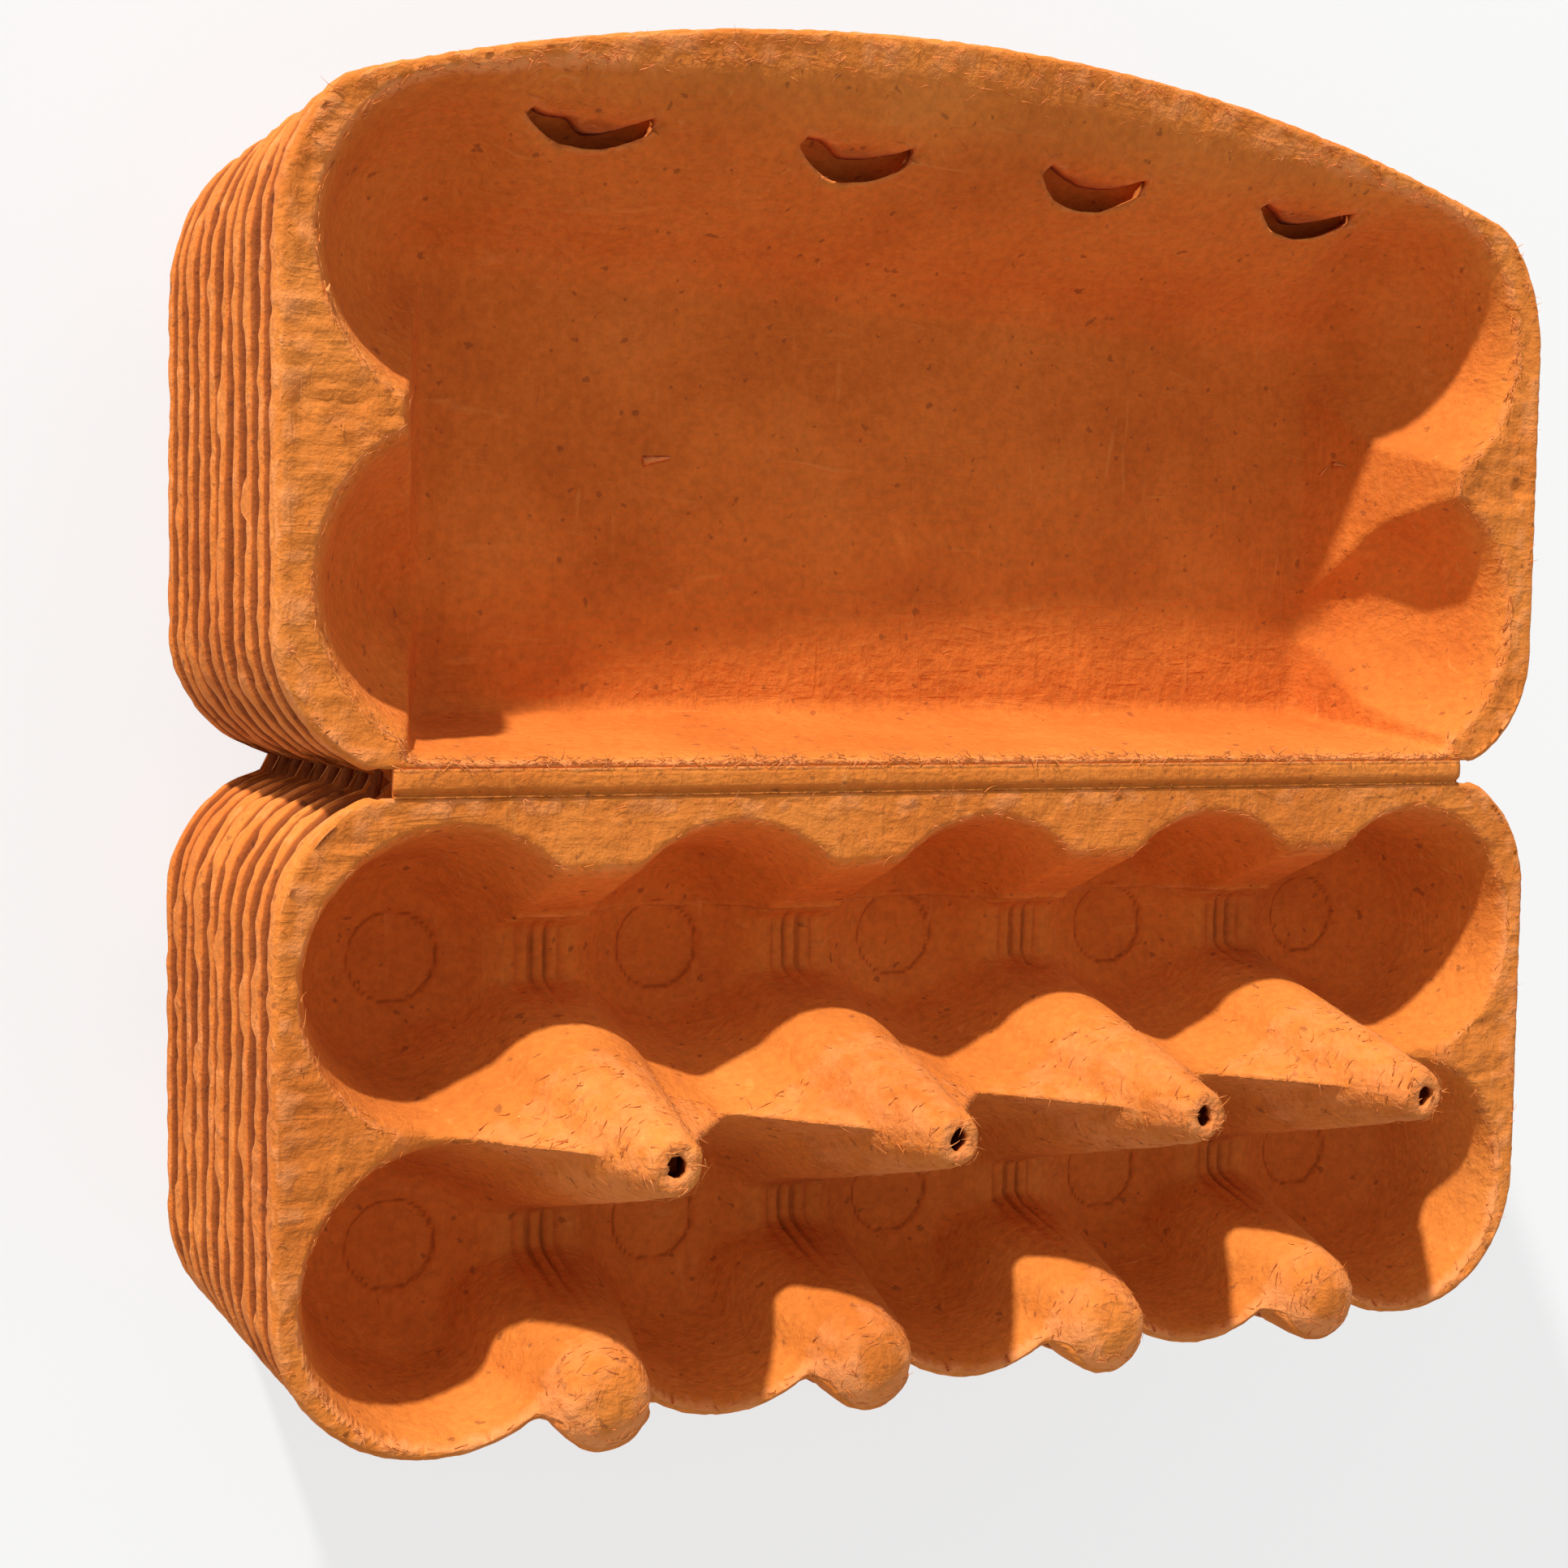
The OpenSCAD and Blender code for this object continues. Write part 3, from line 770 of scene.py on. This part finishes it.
# Points along the rim, evenly spaced, and the direction that points outwards at each
def rim_line(s):
    x, y, faces = cut_grid(whole_outline, *whole_area, 1.5)
    loop = np.array(max(loops_of(faces), key=len))
    px, py = np.append(x[loop], x[loop[0]]), np.append(y[loop], y[loop[0]])
    along = np.append(0, np.cumsum(np.hypot(np.diff(px), np.diff(py))))
    t = np.linspace(0, along[-1], int(along[-1] / s) + 1)[:-1]
    bx, by = np.interp(t, along, px), np.interp(t, along, py)
    for turn in range(5):
        ox, oy = slopes(whole_outline, bx, by, 0.05)
        size = np.maximum(np.hypot(ox, oy), 0.3)
        gap = whole_outline(bx, by) / size
        bx, by = bx - 0.9 * gap * ox / size, by - 0.9 * gap * oy / size
    for turn in range(2):
        ox = (np.roll(ox, 1) + 2 * ox + np.roll(ox, -1)) / 4
        oy = (np.roll(oy, 1) + 2 * oy + np.roll(oy, -1)) / 4
    size = np.maximum(np.hypot(ox, oy), 0.3)
    return bx, by, ox / size, oy / size


# The shell of a carton inside its rim, closed, from both faces of the pulp
def shell(domain, s, rough):
    x, y, faces = cut_grid(domain, *whole_area, s)
    n = len(x)
    z0 = whole_height(x, y, 0)
    z1 = np.minimum(whole_height(x, y, 1), z0 - 0.5)
    nx, ny, nz = grad(whole_height, x, y)
    bumps = rough * (0.2 * fbm(x, y, z0, 9.0, 203) + 0.08 * noise(x, y, z0, 1.9, 208))
    verts = [np.stack([x + nx * bumps, y + ny * bumps, z0 + nz * bumps], -1),
             np.stack([x + nx * bumps, y + ny * bumps, z1 + nz * bumps], -1)]
    all_faces = list(faces) + [[i + n for i in reversed(f)] for f in faces]
    for loop in loops_of(faces):
        all_faces += hem(loop, n)
    return np.concatenate(verts), all_faces


# The ring round a carton's rim: rounded on top, turned down, with a torn lower edge. Each row
# of points has a distance out, a height (millimetres from the rim's top when 0 or less, else a
# share of the edge's depth), a looseness, how pale it is, and how much painted shade it has,
# which darkens the crevices between the stacked rims
rim_rows = [
    (-3.4, -0.9, 0, 0.0, 1.0),
    (-2.9, 0.0, 0, 0.0, 1.0),
    (-1.9, -0.15, 0, 0.0, 1.0),
    (-1.0, -0.8, 0.3, 0.0, 1.0),
    (-0.45, -1.7, 0.7, 0.2, 0.85),
    (-0.08, -2.4, 1, 0.9, 0.1),
    (0.0, 0.72, 1, 0.5, 0.0),
    (-0.02, 0.92, 1, 1.0, 0.0),
    (-0.3, 1.0, 1, 1.0, 0.2),
    (-1.1, 0.86, 0.5, 0.1, 0.95),
    (-1.9, 0.55, 0.2, 0.0, 1.0),
]


def rim_ring(number, bx, by, ox, oy, first):
    seed = 100 + 13 * number
    far = np.abs(bx) > hinge_l / 2 - 4
    keep = np.where(far, step(1.0, 5.0, np.abs(by)), 1.0)
    set_in = 0.30 + 0.30 * noise(bx, by, number * 7.7, 38.0, seed + 3)
    set_in = set_in + 0.12 * noise(bx, by, number * 3.3, 9.0, seed + 4)
    deep = lip_h - 0.8 + 0.5 * np.clip(noise(bx, by, number * 9.1, 6.0, seed), -0.7, 0.9)
    deep = deep + 0.6 * noise(bx, by, number * 5.3, 2.6, seed + 1)
    deep = deep + 0.3 * noise(bx, by, number, 1.7, seed + 8)
    # Here and there the edge hangs low enough to touch the next carton's rim
    bridge = step(0.10, 0.45, noise(bx, by, number * 4.1, 7.0, seed + 2)) * (number < cartons)
    deep = (deep + (nest_pitch + 0.3 - lip_h) * bridge) * (0.35 + 0.65 * keep)
    wave = 0.12 * noise(bx, by, number * 2.9, 4.0, seed + 5) * (1 - 0.6 * bridge)
    verts, torn, tone_and_shade = [], [], []
    for k, (out, level, loose, pale, painted_shade) in enumerate(rim_rows):
        rough = loose * (0.20 * noise(bx, by, number * 3.0 + 1.3 * k, 2.2, seed + 7) - 0.12 + wave)
        o = np.minimum(out + rough, 0.0) - set_in
        z = carton_h + level if level <= 0 else carton_h - level * deep
        z = np.broadcast_to(z, bx.shape) + 0.12 * loose * noise(bx, by, number * 6.0 + k, 2.3, seed + 9)
        z = np.minimum(z, carton_h - (0.02 if level <= 0 else 1.2))
        verts.append(np.stack([bx + ox * o, by + oy * o, z], -1))
        patches = 0.25 + 0.8 * noise(bx, by, number * 2.0 + 0.4 * k, 2.2, seed + 21)
        torn.append(pale * np.clip(patches, 0, 1))
        # Painted shade in the crevices between the stacked rims
        tone_and_shade.append(np.full(len(bx), painted_shade))
    m = len(bx)
    faces = []
    ring = np.arange(m)
    after = np.roll(ring, -1)
    for r in range(len(rim_rows)):
        up, low = first + r * m, first + (r + 1) % len(rim_rows) * m
        faces += np.stack([up + after, up + ring, low + ring, low + after], -1).tolist()
    return np.concatenate(verts), faces, np.concatenate(torn), np.concatenate(tone_and_shade)


# The second to tenth carton; only the bottom one shows its underside
def lower_cartons():
    line = rim_line(1.35)
    plain = shell(lambda x, y: whole_outline(x, y) + rim_inset, 3.5, 0.0)
    last = shell(whole_domain, 1.75, 1.0)
    made = []
    for number in range(2, cartons + 1):
        verts, faces = last if number == cartons else plain
        ring_verts, ring_faces, ring_torn, ring_tone_and_shade = rim_ring(number, *line, len(verts))
        torn = np.concatenate([np.zeros(len(verts)), ring_torn])
        tone_and_shade = np.concatenate([np.full(len(verts), 0.5), ring_tone_and_shade])
        obj = new_mesh("pulp_carton_%02d" % number, np.concatenate([verts, ring_verts]),
                       faces + ring_faces, torn, tone_and_shade)
        made.append(place(obj, number))
    return made


lower = lower_cartons()


# Loose fibres and torn shreds: thin bent blades that lie on the pulp or stand a little off it
def fibres(name, points, normals, along, lengths, widths, seed):
    rng = np.random.default_rng(seed)
    n = len(points)
    side = np.cross(normals, along)
    side /= np.maximum(np.linalg.norm(side, axis=1), 1e-6)[:, None]
    turn = rng.normal(0, 0.45, n)
    ahead = along * np.cos(turn)[:, None] + side * np.sin(turn)[:, None]
    across = np.cross(normals, ahead)
    bend = rng.normal(0, 0.35, n)
    lift = rng.uniform(0.02, 0.16, n)
    verts, faces = [], []
    steps = 4
    for k in range(steps):
        t = k / (steps - 1)
        swing = bend * (t * t) * lengths
        up = 0.05 + lift * lengths * t * t
        mid = points + ahead * (t * lengths)[:, None] + across * swing[:, None] + normals * up[:, None]
        width = widths * (1 - 0.75 * t)
        verts.append(mid - across * width[:, None])
        verts.append(mid + normals * (width * 0.8)[:, None])
        verts.append(mid + across * width[:, None])
    verts = np.stack(verts, 1).reshape(-1, 3)
    ring = 3 * steps
    for i in range(n):
        b = i * ring
        for k in range(steps - 1):
            for c in range(3):
                d = (c + 1) % 3
                faces.append([b + 3 * k + c, b + 3 * k + d, b + 3 * k + 3 + d, b + 3 * k + 3 + c])
        faces.append([b, b + 2, b + 1])
        faces.append([b + ring - 3, b + ring - 2, b + ring - 1])
    torn = rng.uniform(0.35, 1.0, n).repeat(ring)
    return new_mesh(name, verts, faces, torn, np.zeros(n * ring))


# Fibres on a half of the top carton, thickest along its rims, ridges and post tips
def top_fibres(name, height, domain, area, count, seed):
    rng = np.random.default_rng(seed)
    x = rng.uniform(area[0], area[1], count * 60)
    y = rng.uniform(area[2], area[3], count * 60)
    inside = domain(x, y) < -0.3
    x, y = x[inside], y[inside]
    z = height(x, y, 0)
    nx, ny, nz = grad(height, x, y)
    slope = np.hypot(nx, ny)
    chance = 0.010 + 0.55 * step(32.4, 34.2, z) * step(0.10, 0.5, slope)
    chance = chance + (0.10 + 0.25 * (y > 90)) * step(-2.2, -0.6, domain(x, y))
    if height is base_height:
        for px in post_x:
            r = np.hypot(x - px, y + middle_y)
            chance = chance + 0.8 * (1 - step(2.5, 5.0, r))
            chance = chance + 0.5 * np.exp(-((y + middle_y) / 0.8) ** 2) * step(40, 46, z) * (r < 22)
    take = rng.uniform(0, 1, len(x)) < chance
    x, y, z, nx, ny, nz = (v[take][:count] for v in (x, y, z, nx, ny, nz))
    normals = np.stack([nx, ny, nz], -1)
    flat = np.stack([-ny, nx, 0 * nx], -1)
    flat[np.hypot(nx, ny) < 0.08] = (1.0, 0.3, 0.0)
    flat -= normals * np.sum(flat * normals, 1)[:, None]
    flat /= np.linalg.norm(flat, axis=1)[:, None]
    flat *= np.where(rng.uniform(0, 1, len(x)) < 0.5, -1, 1)[:, None]
    lengths = rng.uniform(0.7, 2.8, len(x))
    widths = rng.uniform(0.05, 0.15, len(x))
    points = np.stack([x, y, z], -1) - normals * 0.12
    return place(fibres(name, points, normals, flat, lengths, widths, seed + 1), 1)


cup_fibres = top_fibres("cup_fibres", base_height, base_domain, cup_area, 2100, 501)
lid_fibres = top_fibres("lid_fibres", lid_height, lid_domain, lid_area, 1400, 601)


# Torn fibres along the scored hinge
def hinge_fibres():
    rng = np.random.default_rng(701)
    n = 500
    x = rng.uniform(-hinge_l / 2, hinge_l / 2, n)
    y = fold_y + 0.7 + np.abs(rng.normal(0, 0.5, n))
    points = np.stack([x, y, np.full(n, carton_h - 0.1)], -1)
    normals = np.tile((0.0, 0.0, 1.0), (n, 1))
    along = np.stack([rng.choice([-1.0, 1.0], n), rng.normal(0, 0.3, n), np.zeros(n)], -1)
    along /= np.linalg.norm(along, axis=1)[:, None]
    return place(fibres("hinge_fibres", points, normals, along, rng.uniform(0.8, 3.0, n),
                        rng.uniform(0.06, 0.16, n), 702), 1)


hinge_shreds = hinge_fibres()


# Loose pale flakes of pulp and a dark one, lying on the lid's floor and walls
def flakes():
    x = np.array([-48.7, 94.7, 93.7, 110.0, -115.2])
    y = np.array([53.4, 60.4, 58.0, 90.5, 71.5])
    z = lid_height(x, y, 0)
    normals = np.stack(grad(lid_height, x, y), -1)
    along = np.stack([np.ones(5), np.full(5, 0.25), np.zeros(5)], -1)
    along -= normals * np.sum(along * normals, 1)[:, None]
    along /= np.linalg.norm(along, axis=1)[:, None]
    lengths = np.array([5.0, 3.2, 2.6, 2.0, 1.6])
    widths = np.array([0.95, 0.6, 0.4, 0.35, 0.5])
    points = np.stack([x, y, z], -1) - along * lengths[:, None] / 2
    return place(fibres("pale_flakes", points, normals, along, lengths, widths, 811), 1)


lid_flakes = flakes()


# Moulded pulp: blotches, fibres, specks, pale torn places, a redder tone lower down and painted shade in
# crevices and hollows
def pulp_material():
    mat = bpy.data.materials.new("moulded_pulp")
    mat.use_nodes = True
    nodes, links = mat.node_tree.nodes, mat.node_tree.links
    shader = nodes["Principled BSDF"]
    shader.inputs["Roughness"].default_value = 0.88
    shader.inputs["Specular IOR Level"].default_value = 0.25
    place_node = nodes.new("ShaderNodeTexCoord")

    def noise_node(scale, detail, rough, stretch=None, distortion=0.0):
        tex = nodes.new("ShaderNodeTexNoise")
        tex.inputs["Scale"].default_value = scale
        tex.inputs["Detail"].default_value = detail
        tex.inputs["Roughness"].default_value = rough
        tex.inputs["Distortion"].default_value = distortion
        if stretch:
            mapping = nodes.new("ShaderNodeMapping")
            mapping.inputs["Scale"].default_value = stretch
            links.new(place_node.outputs["Object"], mapping.inputs["Vector"])
            links.new(mapping.outputs["Vector"], tex.inputs["Vector"])
        else:
            links.new(place_node.outputs["Object"], tex.inputs["Vector"])
        return tex.outputs["Fac"]

    def ramp(source, stops):
        node = nodes.new("ShaderNodeValToRGB")
        ramp_elements = node.color_ramp.elements
        while len(ramp_elements) < len(stops):
            ramp_elements.new(0.5)
        for element, (position, colour) in zip(ramp_elements, stops):
            element.position = position
            element.color = (*colour, 1.0)
        links.new(source, node.inputs["Fac"])
        return node.outputs["Color"]

    def mix(kind, factor, a, b):
        node = nodes.new("ShaderNodeMix")
        node.data_type = "RGBA"
        node.blend_type = kind
        if isinstance(factor, float):
            node.inputs[0].default_value = factor
        else:
            links.new(factor, node.inputs[0])
        links.new(a, node.inputs[6])
        if isinstance(b, tuple):
            node.inputs[7].default_value = (*b, 1.0)
        else:
            links.new(b, node.inputs[7])
        return node.outputs[2]

    def math_node(kind, a, b):
        node = nodes.new("ShaderNodeMath")
        node.operation = kind
        for socket, value in zip(node.inputs, (a, b)):
            if isinstance(value, (int, float)):
                socket.default_value = value
            else:
                links.new(value, socket)
        return node.outputs[0]

    black, white = (0, 0, 0), (1, 1, 1)
    dark_pulp, mid_pulp, light_pulp = (0.610, 0.155, 0.018), (0.740, 0.210, 0.028), (0.800, 0.255, 0.042)
    grain_shade = (0.72, 0.72, 0.72)
    pale_fibre, brown_speck, torn_pulp = (0.84, 0.35, 0.09), (0.22, 0.06, 0.015), (0.90, 0.33, 0.11)
    # The stop at 0.5 gives the pulp a redder tone; the brown stop at 1.0 is painted shade
    redder_tone, painted_shade_brown = (0.97, 0.80, 0.70), (0.34, 0.24, 0.18)

    blotch = ramp(noise_node(28, 5, 0.6), [(0.30, dark_pulp), (0.52, mid_pulp), (0.75, light_pulp)])
    grain = ramp(noise_node(620, 4, 0.65), [(0.30, grain_shade), (0.62, white)])
    colour = mix("MULTIPLY", 0.75, blotch, grain)
    fibre_a = noise_node(300, 3, 0.5, (0.16, 1.0, 1.0), 1.4)
    fibre_b = noise_node(300, 3, 0.5, (1.0, 0.16, 1.0), 1.4)
    fibres = math_node("MAXIMUM", fibre_a, fibre_b)
    light_fibres = ramp(fibres, [(0.66, black), (0.78, white)])
    colour = mix("MIX", math_node("MULTIPLY", light_fibres, 0.35), colour, pale_fibre)
    specks = ramp(noise_node(430, 2, 0.4), [(0.27, white), (0.31, black)])
    colour = mix("MIX", math_node("MULTIPLY", specks, 0.55), colour, brown_speck)
    torn = nodes.new("ShaderNodeAttribute")
    torn.attribute_name = "torn"
    torn_noise = noise_node(520, 3, 0.7)
    torn_part = ramp(math_node("ADD", math_node("MULTIPLY", torn.outputs["Fac"], 0.75),
                               math_node("MULTIPLY", torn_noise, 0.5)),
                     [(0.45, black), (0.95, white)])
    colour = mix("MIX", math_node("MULTIPLY", torn_part, 0.6), colour, torn_pulp)
    # A redder tone, and brown painted shade in crevices, hollows and under edges, from the vertex
    # attribute
    tone_and_shade = nodes.new("ShaderNodeAttribute")
    tone_and_shade.attribute_name = "tone_and_shade"
    tone_and_shade_tint = ramp(tone_and_shade.outputs["Fac"], [(0.0, white), (0.5, redder_tone), (1.0, painted_shade_brown)])
    colour = mix("MULTIPLY", 1.0, colour, tone_and_shade_tint)
    links.new(colour, shader.inputs["Base Color"])

    bump_height = math_node("ADD", math_node("MULTIPLY", noise_node(900, 4, 0.6), 0.5),
                            math_node("MULTIPLY", fibres, 0.9))
    bump_height = math_node("ADD", bump_height, math_node("MULTIPLY", noise_node(190, 4, 0.6), 0.8))
    bump_height = math_node("ADD", bump_height, math_node("MULTIPLY", torn_part, 0.5))
    bump = nodes.new("ShaderNodeBump")
    bump.inputs["Strength"].default_value = 0.55
    bump.inputs["Distance"].default_value = 0.0010
    links.new(bump_height, bump.inputs["Height"])
    links.new(bump.outputs["Normal"], shader.inputs["Normal"])
    return mat


pulp = pulp_material()
for obj in [cup_half, lid_half, fold_strip, cup_fibres, lid_fibres, hinge_shreds, lid_flakes] + lower:
    obj.data.materials.clear()
    obj.data.materials.append(pulp)

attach(cup_half, "stack")
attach(lid_half, "lid")
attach(lid_fibres, "lid")
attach(hinge_shreds, "lid")
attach(lid_flakes, "lid")
for obj in lower + [cup_fibres]:
    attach(obj, "stack")
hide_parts("top_base")
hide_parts("top_lid")
for number, obj in enumerate(lower, 2):
    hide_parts("carton_%02d" % number)
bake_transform(fold_strip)


# A pale floor, made paler for the camera only
def backdrop():
    mesh = bpy.data.meshes.new("floor")
    reach, level = 6, -0.0003
    corners = [(-reach, -reach), (reach, -reach), (reach, reach), (-reach, reach)]
    mesh.from_pydata([(x, y, level) for x, y in corners], [], [[0, 1, 2, 3]])
    floor = bpy.data.objects.new("floor", mesh)
    bpy.context.scene.collection.objects.link(floor)
    mat = bpy.data.materials.new("floor")
    mat.use_nodes = True
    nodes, links = mat.node_tree.nodes, mat.node_tree.links
    shader = nodes["Principled BSDF"]
    shader.inputs["Base Color"].default_value = (0.86, 0.86, 0.85, 1)
    shader.inputs["Roughness"].default_value = 0.9
    glow = nodes.new("ShaderNodeEmission")
    glow.inputs["Color"].default_value = (1.0, 1.0, 1.0, 1)
    glow.inputs["Strength"].default_value = 0.98
    path = nodes.new("ShaderNodeLightPath")
    share = nodes.new("ShaderNodeMath")
    share.operation = "MULTIPLY"
    share.inputs[1].default_value = 0.7
    blend = nodes.new("ShaderNodeMixShader")
    links.new(path.outputs["Is Camera Ray"], share.inputs[0])
    links.new(share.outputs[0], blend.inputs[0])
    links.new(shader.outputs[0], blend.inputs[1])
    links.new(glow.outputs[0], blend.inputs[2])
    links.new(blend.outputs[0], nodes["Material Output"].inputs["Surface"])
    mesh.materials.append(mat)


backdrop()

# The camera that was fitted to the photo
cam_data = bpy.data.cameras.new("camera")
cam_data.sensor_width = 36.0
cam_data.sensor_height = 36.0
cam_data.sensor_fit = "HORIZONTAL"
cam_data.lens = 51.95
cam_data.clip_end = 50
camera = bpy.data.objects.new("camera", cam_data)
bpy.context.scene.collection.objects.link(camera)
right = Vector((0.88975, 0.01724, 0.45613))
down = Vector((-0.01116, -0.99817, 0.05951))
ahead = Vector((0.45631, -0.05804, -0.88792))
turn = Matrix((right, -down, -ahead)).transposed().to_4x4()
camera.matrix_world = Matrix.Translation((-0.20690, 0.01204, 0.43004)) @ turn
bpy.context.scene.camera = camera


def lamp(name, spot, target, size, power):
    data = bpy.data.lights.new(name, "AREA")
    data.shape = "DISK"
    data.size = size
    data.energy = power
    obj = bpy.data.objects.new(name, data)
    obj.location = spot
    obj.rotation_euler = (Vector(target) - Vector(spot)).to_track_quat("-Z", "Y").to_euler()
    bpy.context.scene.collection.objects.link(obj)


lamp("key", (-1.60, 3.40, 1.29), (0, 0, 0.09), 0.16, 205)

# Even light all round, brighter where the camera sees it
world = bpy.data.worlds.new("world")
world.use_nodes = True
background = world.node_tree.nodes["Background"]
background.inputs["Color"].default_value = (1, 1, 1, 1)
seen = world.node_tree.nodes.new("ShaderNodeLightPath")
strength = world.node_tree.nodes.new("ShaderNodeMapRange")
strength.inputs["To Min"].default_value = 0.56
strength.inputs["To Max"].default_value = 0.95
world.node_tree.links.new(seen.outputs["Is Camera Ray"], strength.inputs["Value"])
world.node_tree.links.new(strength.outputs["Result"], background.inputs["Strength"])
bpy.context.scene.world = world
bpy.context.scene.view_settings.view_transform = "Standard"
